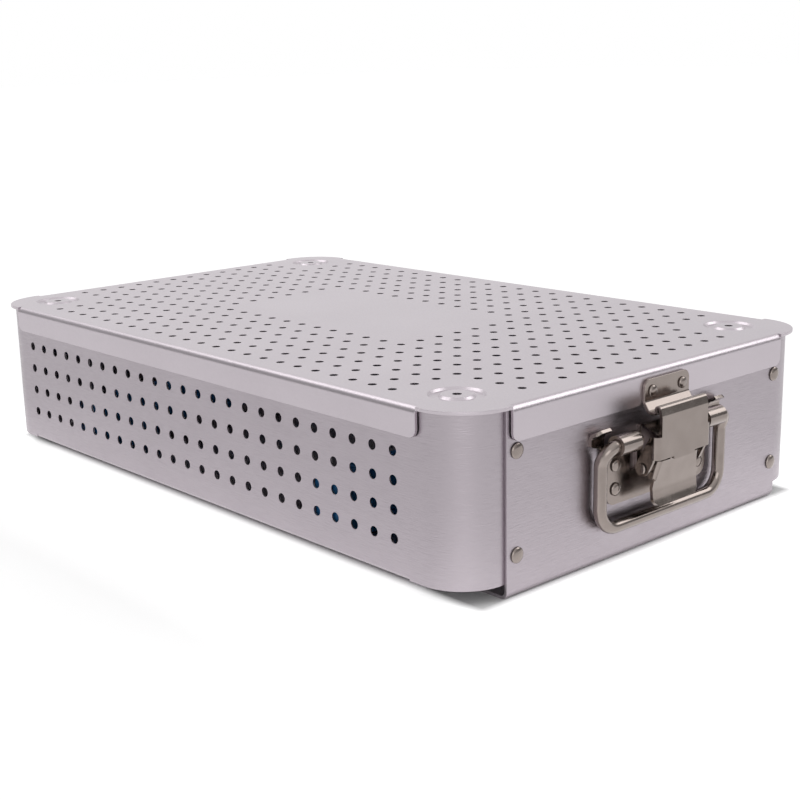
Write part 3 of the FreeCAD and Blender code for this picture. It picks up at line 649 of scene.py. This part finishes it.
def lid_hole_centres():
    """Centres of all holes, without the blank in the middle and at the corners."""
    centres = []
    for i in range(LID_COLUMNS):
        for j in range(LID_ROWS):
            from_middle_i = abs(2 * i - (LID_COLUMNS - 1))
            from_middle_j = abs(2 * j - (LID_ROWS - 1))
            blank = from_middle_i < LID_BLANK_COLUMNS and from_middle_j < LID_BLANK_ROWS
            at_end = min(i, LID_COLUMNS - 1 - i) < LID_CORNER_BLANK
            at_side = min(j, LID_ROWS - 1 - j) < LID_CORNER_BLANK
            if not blank and not (at_end and at_side):
                x = PATTERN_SHIFT + PITCH * (i - (LID_COLUMNS - 1) / 2)
                centres.append(Vector((x, PITCH * (j - (LID_ROWS - 1) / 2), 0)))
    return centres


def ring_centres():
    """Middles of the corners' blanks."""
    middle = (LID_CORNER_BLANK - 1) / 2
    reach_x = PITCH * ((LID_COLUMNS - 1) / 2 - middle)
    reach_y = PITCH * ((LID_ROWS - 1) / 2 - middle)
    return [Vector((PATTERN_SHIFT + i * reach_x, j * reach_y, 0)) for i in (-1, 1) for j in (-1, 1)]


def lid_outline(bm):
    """Edge of the lid's flat sheet: rounded corners, set back where the flanges fold down."""
    fold_x = LID_X - LID_BEND
    fold_y = LID_Y - LID_BEND
    centre = Vector((LID_X - LID_CORNER, LID_Y - LID_CORNER, 0))
    start = math.asin((LID_SIDE_X - centre.x) / LID_CORNER)
    first = centre + Matrix.Rotation(-start, 3, "Z") @ (Y * LID_CORNER)
    open_line(bm, [(0, fold_y, 0), (LID_SIDE_X, fold_y, 0), first])
    arc = bmesh.ops.spin(
        bm, geom=[vert_at(bm, first)], cent=centre, axis=Z, dvec=(0, 0, 0),
        angle=start - QUARTER, steps=CORNER_STEPS, use_merge=False, use_duplicate=False)
    last = [g for g in arc["geom_last"] if isinstance(g, bmesh.types.BMVert)][0]
    ear = bm.verts.new((LID_X, LID_END_Y, 0))
    fold = bm.verts.new((fold_x, LID_END_Y, 0))
    middle = bm.verts.new((fold_x, 0, 0))
    for pair in ((last, ear), (ear, fold), (fold, middle)):
        bm.edges.new(pair)
    for axis in ("X", "Y"):
        bmesh.ops.mirror(bm, geom=bm.verts[:] + bm.edges[:], axis=axis, merge_dist=NEAR)


def lid_sheet():
    """Perforated lid with a pressed ring at each corner and a flange along each side."""
    bm = bmesh.new()
    lid_outline(bm)
    for centre in ring_centres():
        profile = [
            (LID_HOLE, -HOLE_ROLL),
            (LID_HOLE + HOLE_ROLL, 0),
            (RING_INNER, 0),
            (RING_INNER + RING_SLOPE, -RING_DEPTH),
            (RING_OUTER - RING_SLOPE, -RING_DEPTH),
            (RING_OUTER, 0),
            (RING_BAND, 0),
        ]
        line = open_line(bm, [centre + X * radius + Z * height for radius, height in profile])
        bmesh.ops.spin(
            bm, geom=verts_of(line) + line, cent=centre, axis=Z, dvec=(0, 0, 0),
            angle=TAU, steps=RING_STEPS, use_merge=True, use_duplicate=False)
    perforated_sheet(bm, lid_hole_centres(), LID_HOLE, blank=True)
    for side in (-1, 1):
        fold_y = side * (LID_Y - LID_BEND)
        fold_x = side * (LID_X - LID_BEND)
        long_fold = border_edges(bm, lambda point: abs(point.y - fold_y) < NEAR)
        hem = swing(bm, long_fold, (0, fold_y, -LID_BEND), X, -90 * side)
        pull(bm, hem, Z * (LID_BEND - LID_SIDE_DEPTH))
        short_fold = border_edges(
            bm, lambda point: abs(point.x - fold_x) < NEAR and abs(point.z) < NEAR)
        hem = swing(bm, short_fold, (fold_x, 0, -LID_BEND), Y, 90 * side)
        pull(bm, hem, Z * (LID_BEND - LID_END_DEPTH))
    for i in (-1, 1):
        for j in (-1, 1):
            round_corner(bm, (i * LID_SIDE_X, j * LID_Y, -LID_SIDE_DEPTH), HEM_CORNER)
            round_corner(bm, (i * LID_X, j * LID_END_Y, -LID_END_DEPTH), HEM_CORNER)
    bmesh.ops.translate(bm, verts=bm.verts[:], vec=Z * TOP)
    return thicken(bm, Z)


def wall_sheet():
    """Front wall, drawn flat with its height along Y, stood up, then rolled round both corners."""
    bm = bmesh.new()
    flat_x = WALL_END_X - WALL_CORNER
    foot = WALL_LOW + WALL_FOOT_BEND
    half = [
        (flat_x, RIM_Z, 0), (flat_x, WALL_LOW, 0), (WALL_FOOT_X, WALL_LOW, 0),
        (WALL_FOOT_X, foot, 0)]
    border = half + [(-x, y, z) for x, y, z in half[::-1]]
    open_line(bm, border + border[:1])
    first = PATTERN_SHIFT - PITCH * (WALL_HOLE_COLUMNS - 1) / 2
    centres = [
        Vector((first + PITCH * i, WALL_HOLE_LOWEST + PITCH * j, 0))
        for i in range(WALL_HOLE_COLUMNS)
        for j in range(WALL_HOLE_ROWS)]
    perforated_sheet(bm, centres, WALL_HOLE)
    stand = Matrix.Translation(Y * -SIDE_Y) @ Matrix.Rotation(QUARTER, 4, "X")
    bmesh.ops.transform(bm, matrix=stand, verts=bm.verts[:])
    for end in (-1, 1):
        turn_x = end * flat_x
        upright = [edge_at(bm, (turn_x, -SIDE_Y, WALL_LOW), (turn_x, -SIDE_Y, RIM_Z))]
        centre = (turn_x, WALL_CORNER - SIDE_Y, 0)
        rolled = swing(bm, upright, centre, Z, 90 * end, CORNER_STEPS)
        pull(bm, rolled, Y * (SIDE_Y - WALL_CORNER - WALL_RETURN_END))
    hem = [edge_at(bm, (-WALL_FOOT_X, -SIDE_Y, foot), (WALL_FOOT_X, -SIDE_Y, foot))]
    hem = swing(bm, hem, (0, WALL_FOOT_BEND - SIDE_Y, foot), X, 90)
    slope = SIDE_Y - WALL_FOOT_BEND - PLATE_Y - WALL_FOOT_CLEAR
    hem = pull(bm, hem, Vector((0, slope, FLOOR_TOP - WALL_LOW)))
    pull(bm, hem, Y * (PLATE_Y + WALL_FOOT_CLEAR - WALL_FOOT_END))
    return thicken(bm, -Y)


def base_sheet():
    """One strip: end plate, foot rail, step and raised floor, the same at both ends."""
    bm = bmesh.new()
    edge = open_line(bm, [(END_X, -PLATE_Y, RIM_Z), (END_X, PLATE_Y, RIM_Z)])
    edge = pull(bm, edge, Z * (FOOT_BEND - RIM_Z))
    edge = swing(bm, edge, (END_X - FOOT_BEND, 0, FOOT_BEND), Y, 90)
    edge = pull(bm, edge, X * (FOOT_RAIL_X - END_X + FOOT_BEND))
    edge = pull(bm, edge, Vector((FLOOR_STEP_X - FOOT_RAIL_X, 0, FLOOR_UNDER)))
    pull(bm, edge, X * -FLOOR_STEP_X)
    for x, z in ((FOOT_RAIL_X, 0), (FLOOR_STEP_X, FLOOR_UNDER)):
        round_fold(bm, edge_at(bm, (x, -PLATE_Y, z), (x, PLATE_Y, z)), SMALL_BEND)
    bmesh.ops.mirror(
        bm, geom=bm.verts[:] + bm.edges[:] + bm.faces[:], axis="X", merge_dist=NEAR)
    return thicken(bm, -Z)


# Latch

def catch_strip():
    """Plate on the lid's flange whose lower edge turns out into a trough."""
    profile = [(1.6, 62.0), (1.6, 54.0), (4.1, 50.2), (8.9, 50.2), (8.9, 53.5)]
    low, high = CATCH_SHIFT - CATCH_HALF, CATCH_SHIFT + CATCH_HALF
    bm = bmesh.new()
    line = open_line(bm, [at(out, height, low) for out, height in profile])
    pull(bm, line, Y * (high - low))
    for out, height in profile[1:-1]:
        fold_across(bm, out, height, low, high, radius=2.4)
    for across in (low, high):
        round_corner(bm, at(*profile[0], across), radius=3)
    return thicken(bm, -X)


def claw_plate():
    """Channel on the claw's pins; its neck curls over at the top and grips the catch."""
    bm = bmesh.new()
    face, flange_back = 12.6, 9.4
    tongue, bottom, flange_low, shoulder, neck_top, curl_top = 35.2, 36.3, 35.5, 44.3, 51.4, 54.8
    wide, neck, tongue_half = 15.2, 12.9, 5.4
    half = [
        (tongue, tongue_half), (tongue + 0.3, 5.8), (bottom, 5.8), (bottom, wide),
        (shoulder, wide), (shoulder, neck), (neck_top, neck)]
    outline_face(bm, both_halves([at(face, height, across) for height, across in half]))
    for side in (-1, 1):
        fold = [at(face, bottom, wide * side), at(face, shoulder, wide * side)]
        pull(bm, [edge_at(bm, *fold)], X * -CHANNEL_DEPTH)
        round_fold(bm, edge_at(bm, *fold), CHANNEL_BEND)
    edge = [edge_at(bm, at(face, neck_top, -neck), at(face, neck_top, neck))]
    for move in ((-1, 0, 3.4), (-2.4, 0, 0), (0, 0, -2.5)):
        edge = pull(bm, edge, Vector(move))
    for out, height, bend in ((face, neck_top, 2.4), (11.6, curl_top, 1.4), (9.2, curl_top, 1.3)):
        fold_across(bm, out, height, -neck, neck, bend)
    channel = thicken(bm, X)
    flange = hull_plate([
        (*CLAW_PIN, 2.8), (10.6, flange_low, POINT), (10.6, shoulder, POINT),
        (flange_back, shoulder, POINT)], 14.02, 15.18)
    return joined([channel] + both_sides(flange))


def latch_lever():
    """Channel under the claw, with a dished lip to lift it by."""
    bm = bmesh.new()
    top, slot, shoulder, low = (11.1, 36.5), (10.75, 34.9), (9.3, 28.0), (8.7, 25.2)
    wide, narrow, tab = 12.4, 11.5, 5.6
    outline_face(bm, both_halves([
        at(*low, wide), at(*shoulder, wide), at(*shoulder, narrow), at(*slot, narrow),
        at(*slot, tab), at(*top, tab)]))
    for side in (-1, 1):
        fold = [at(*shoulder, narrow * side), at(*slot, narrow * side)]
        pull(bm, [edge_at(bm, *fold)], X * -CHANNEL_DEPTH)
        round_fold(bm, edge_at(bm, *fold), CHANNEL_BEND)
    lip = [edge_at(bm, at(*low, -wide), at(*low, wide))]
    lip = pull(bm, lip, Vector((0.2, 0, -1.4)))
    lip = swing(bm, lip, at(19.9, 23.8), Y, -26, steps=12)
    for side in (-1, 1):
        round_tip(bm, lip, wide * side, radius=3)
    channel = thicken(bm, X)
    flange = hull_plate([
        (*CLAW_PIN, 2.6), (7.2, 28, POINT), (8.8, 34.9, POINT), (*LEVER_PIN, 2.6)], 10.32, 11.48)
    return joined([channel] + both_sides(flange))


def base_plate():
    """The latch's plate, with a curled stop beside each knuckle."""
    bm = bmesh.new()
    low, wide, stop_low, stop_wide = 20.5, 27.8, 45.4, 36.0
    stop_inner = KNUCKLE_SPAN[1] + 0.3
    half = [
        (low, wide), (33.0, wide), (35.6, 30.4), (41.4, 30.4), (43.4, stop_wide),
        (stop_low, stop_wide), (stop_low, stop_inner), (38.0, stop_inner), (38.0, 15.4),
        (31.0, 15.4), (31.0, 11.6), (38.0, 11.6), (38.0, 11.2), (46.1, 10.0)]
    outline_face(bm, both_halves([at(SHEET, height, across) for height, across in half]))
    for side in (-1, 1):
        round_corner(bm, at(SHEET, low, wide * side), radius=4)
        stop = [edge_at(
            bm, at(SHEET, stop_low, stop_inner * side), at(SHEET, stop_low, stop_wide * side))]
        stop = swing(bm, stop, at(SHEET + 1.8, stop_low), Y, 75)
        stop = swing(bm, stop, at(SHEET + 0.45, 50.4), Y, -40)
        round_tip(bm, stop, stop_wide * side, radius=2.6)
    return thicken(bm, X)


def rolled_knuckle():
    """Strip that steps out from the plate and is rolled round the handle's end."""
    bm = bmesh.new()
    low, high = KNUCKLE_SPAN
    skin = [(0, 36.8), (0, 38.4), (2.4, 41.7), (2.4, 43.3)]
    line = open_line(bm, [at(out, height, low) for out, height in skin])
    pull(bm, line, Y * (high - low))
    top = [edge_at(bm, at(*skin[-1], low), at(*skin[-1], high))]
    swing(bm, top, at(*KNUCKLE), Y, 300, steps=30)
    for out, height in skin[1:-1]:
        fold_across(bm, out, height, low, high, SMALL_BEND)
    return thicken(bm, -X)


def latch_base():
    """Plate with rolled knuckles for the handle and ears for the lever."""
    plate = base_plate()
    knuckle = rolled_knuckle()
    ear = hull_plate([(0.6, 33.9, POINT), (*LEVER_PIN, 2.4), (0.6, 46.1, POINT)], 8.8, 10.0)
    return joined([plate] + both_sides(knuckle) + both_sides(ear))


def bail_wire():
    """One bent wire whose ends turn inside the knuckles."""
    leg = 33.5
    half = [at(*KNUCKLE, 16.8), at(*KNUCKLE, leg), at(3.2, 37.5, leg), at(3.2, 13.6, leg)]
    return bent_wire(both_halves(half), [4.8, 4.8, 8, 8, 4.8, 4.8], HANDLE_WIRE)


def lever_pin():
    """Pin through both ears, with a head at each end."""
    end = 11.8
    shank = round_bar(at(*LEVER_PIN, -end), Y, 2 * end, PIN)
    head = dome(at(*LEVER_PIN, end), Y, PIN_HEAD, height=0.95)
    return joined([shank] + both_sides(head))


def claw_pins():
    """A short pin with a collar at each side of the lever."""
    shank = round_bar(at(*CLAW_PIN, 10.3), Y, 5.2, PIN)
    collar = round_bar(at(*CLAW_PIN, 11.5), Y, 2.2, PIN_HEAD)
    head = dome(at(*CLAW_PIN, 15.5), Y, PIN_HEAD, height=0.63, rim=0.15)
    return joined(both_sides(joined([shank, collar, head])))


def rivets(seats, along, radius, height=1.2):
    return joined([dome(seat, along, radius, height) for seat in seats])


# Inside

def bar_bracket():
    """Channel that grips an instrument bar."""
    bm = bmesh.new()
    right, left = BRACKET_X + BRACKET_HALF, BRACKET_X - BRACKET_HALF
    line = open_line(bm, [
        (right, -BRACKET_END, BRACKET_TOP), (right, -BRACKET_END, FLOOR_TOP),
        (left, -BRACKET_END, FLOOR_TOP), (left, -BRACKET_END, BRACKET_TOP)])
    pull(bm, line, Y * (2 * BRACKET_END))
    for x in (left, right):
        fold = edge_at(bm, (x, -BRACKET_END, FLOOR_TOP), (x, BRACKET_END, FLOOR_TOP))
        round_fold(bm, fold, SMALL_BEND)
    return thicken(bm, -Z)


def instrument_bar():
    """Soft bar with notches that hold the instruments apart."""
    bm = bmesh.new()
    pitch = 2 * BAR_END / NOTCHES
    points = [(-BAR_END, BAR_LOW), (BAR_END, BAR_LOW), (BAR_END, BAR_TOP)]
    for i in range(NOTCHES):
        middle = BAR_END - pitch * (i + 0.5)
        points += [
            (middle + NOTCH_MOUTH, BAR_TOP), (middle + NOTCH_BOTTOM, BAR_TOP - NOTCH_DEPTH),
            (middle - NOTCH_BOTTOM, BAR_TOP - NOTCH_DEPTH), (middle - NOTCH_MOUTH, BAR_TOP)]
    points.append((-BAR_END, BAR_TOP))
    face = outline_face(bm, [(BAR_X, y, z) for y, z in points])
    block = bmesh.ops.extrude_face_region(bm, geom=[face])["geom"]
    far = [g for g in block if isinstance(g, bmesh.types.BMVert)]
    bmesh.ops.translate(bm, verts=far, vec=X * BAR_WIDTH)
    bmesh.ops.recalc_face_normals(bm, faces=bm.faces[:])
    return bm


# Camera, light and floor

def place_camera(scene):
    lens = bpy.data.cameras.new("camera")
    lens.lens = CAMERA_LENS
    lens.sensor_width = 36
    lens.shift_x, lens.shift_y = CAMERA_SHIFT
    lens.clip_end = 50
    camera = bpy.data.objects.new("camera", lens)
    camera.location = CAMERA_PLACE
    camera.rotation_euler = [math.radians(degrees) for degrees in CAMERA_TURN]
    scene.collection.objects.link(camera)
    scene.camera = camera
    scene.view_settings.view_transform = "Standard"


def light_room(scene):
    """White to the camera, darker at both sides in reflections, an even fill otherwise."""
    world = bpy.data.worlds.new("studio")
    world.use_nodes = True
    scene.world = world
    tree = world.node_tree
    way = add_node(tree, "ShaderNodeTexCoord", {}, "Generated")
    sideways = add_node(
        tree, "ShaderNodeVectorMath", {0: way, 1: ROOM_DARK_WAY}, "Value",
        operation="DOT_PRODUCT")
    to_a_side = calculate(tree, "POWER", sideways, 2)
    room = add_node(tree, "ShaderNodeMapRange", {
        "Value": to_a_side, "To Min": 1.0, "To Max": ROOM_DARKEST}, "Result")
    # a Mix node's numbers are its inputs 2 and 3 and its output 0
    reflected = any_ray(tree, "Glossy", "Transmission")
    unless_seen = add_node(tree, "ShaderNodeMix", {0: reflected, 2: ROOM_FILL, 3: room}, 0)
    seen = any_ray(tree, "Camera")
    strength = add_node(tree, "ShaderNodeMix", {0: seen, 2: unless_seen, 3: 1.0}, 0)
    feed(tree, tree.nodes["Background"], {"Color": (1, 1, 1, 1), "Strength": strength})


def hang_softboxes(scene):
    for name, (towards, strength) in SOFTBOXES.items():
        lamp = bpy.data.lights.new(name, "SUN")
        lamp.angle = math.radians(SOFTBOX_ANGLE)
        lamp.energy = strength
        light = bpy.data.objects.new(name, lamp)
        light.rotation_euler = (-Vector(towards)).to_track_quat("-Z", "Y").to_euler()
        scene.collection.objects.link(light)


def lay_floor(scene):
    bm = bmesh.new()
    bmesh.ops.create_grid(bm, x_segments=1, y_segments=1, size=FLOOR_SIZE)
    mesh = bpy.data.meshes.new("floor")
    bm.to_mesh(mesh)
    bm.free()
    floor = bpy.data.objects.new("floor", mesh)
    scene.collection.objects.link(floor)
    mesh.materials.append(floor_paper_painted_glow())


place_camera(bpy.context.scene)
light_room(bpy.context.scene)
hang_softboxes(bpy.context.scene)
lay_floor(bpy.context.scene)

satin = satin_anodised_sheet()
# brushed holds the walls' material, whose darker colour is painted shade
brushed = brushed_wall_painted_darker()
steel = tumbled_stainless_steel()
silicone = moulded_silicone()

finish_piece("lid_sheet", lid_sheet(), satin, "lid", ["lid_panel"], edge_steps=1)
front = wall_sheet()
rear = mirrored(front, Y)
# painted shade: both walls take the darker colour of the brushed material
finish_piece(
    "front_wall_sheet", front, brushed, "tray", ["side_wall_front"], edge_steps=1)
finish_piece(
    "rear_wall_sheet", rear, brushed, "tray", ["side_wall_rear"], edge_steps=1)
# painted shade: the end plate takes the walls' darker colour, so it reads darker than the lid's
# flange above it
finish_piece("base_strip", base_sheet(), brushed, "tray", ["base_sheet"], edge=0.2)

finish_ends("catch_strip", catch_strip(), steel, "lid", "catch_plate", edge=0.2)
finish_ends("claw", claw_plate(), steel, "claw_", "claw_plate", edge=0.32)
finish_ends("lever", latch_lever(), steel, "lever_", "latch_lever", edge=0.3)
finish_ends("latch_plate", latch_base(), steel, "tray", "latch_base", edge=0.2)
finish_ends("bail_wire", bail_wire(), steel, "bail_", "bail_handle", edge=0.3)
finish_ends("lever_pivot", lever_pin(), steel, "tray", "lever_pin", edge=0.1)
finish_ends("claw_pivots", claw_pins(), steel, "lever_", "claw_pins", edge=0.1)

plate_seats = [at(0, z, y) for z in (49.6, 14.6) for y in (-71, 72.6)]
plate_heads = rivets(plate_seats, X, radius=2.75)
latch_seats = [at(SHEET, z, y) for z in (34.5, 26) for y in (-23.2, 23.2)]
latch_heads = rivets(latch_seats, X, radius=2.4)
catch_seats = [at(2.8, 57.7, CATCH_SHIFT + y) for y in (-8.35, 8.35)]
catch_heads = rivets(catch_seats, X, radius=2.1)
finish_ends("end_rivet_heads", plate_heads, steel, "tray", "end_rivets", edge=0)
finish_ends("latch_rivet_heads", latch_heads, steel, "tray", "latch_base_rivets", edge=0)
finish_ends("catch_rivet_heads", catch_heads, steel, "lid", "catch_rivets", edge=0)
floor_seats = [Vector((x, y, FLOOR_UNDER)) for x in (-BRACKET_X, BRACKET_X) for y in (-50, 50)]
floor_heads = rivets(floor_seats, -Z, radius=2.4)
finish_piece("floor_rivet_heads", floor_heads, steel, "tray", ["bracket_rivets"], edge=0)

finish_ends("bar_channel", bar_bracket(), satin, "tray", "bar_bracket", edge=0.15)
finish_ends("soft_bar", instrument_bar(), silicone, "tray", "instrument_bar", edge=0.8)
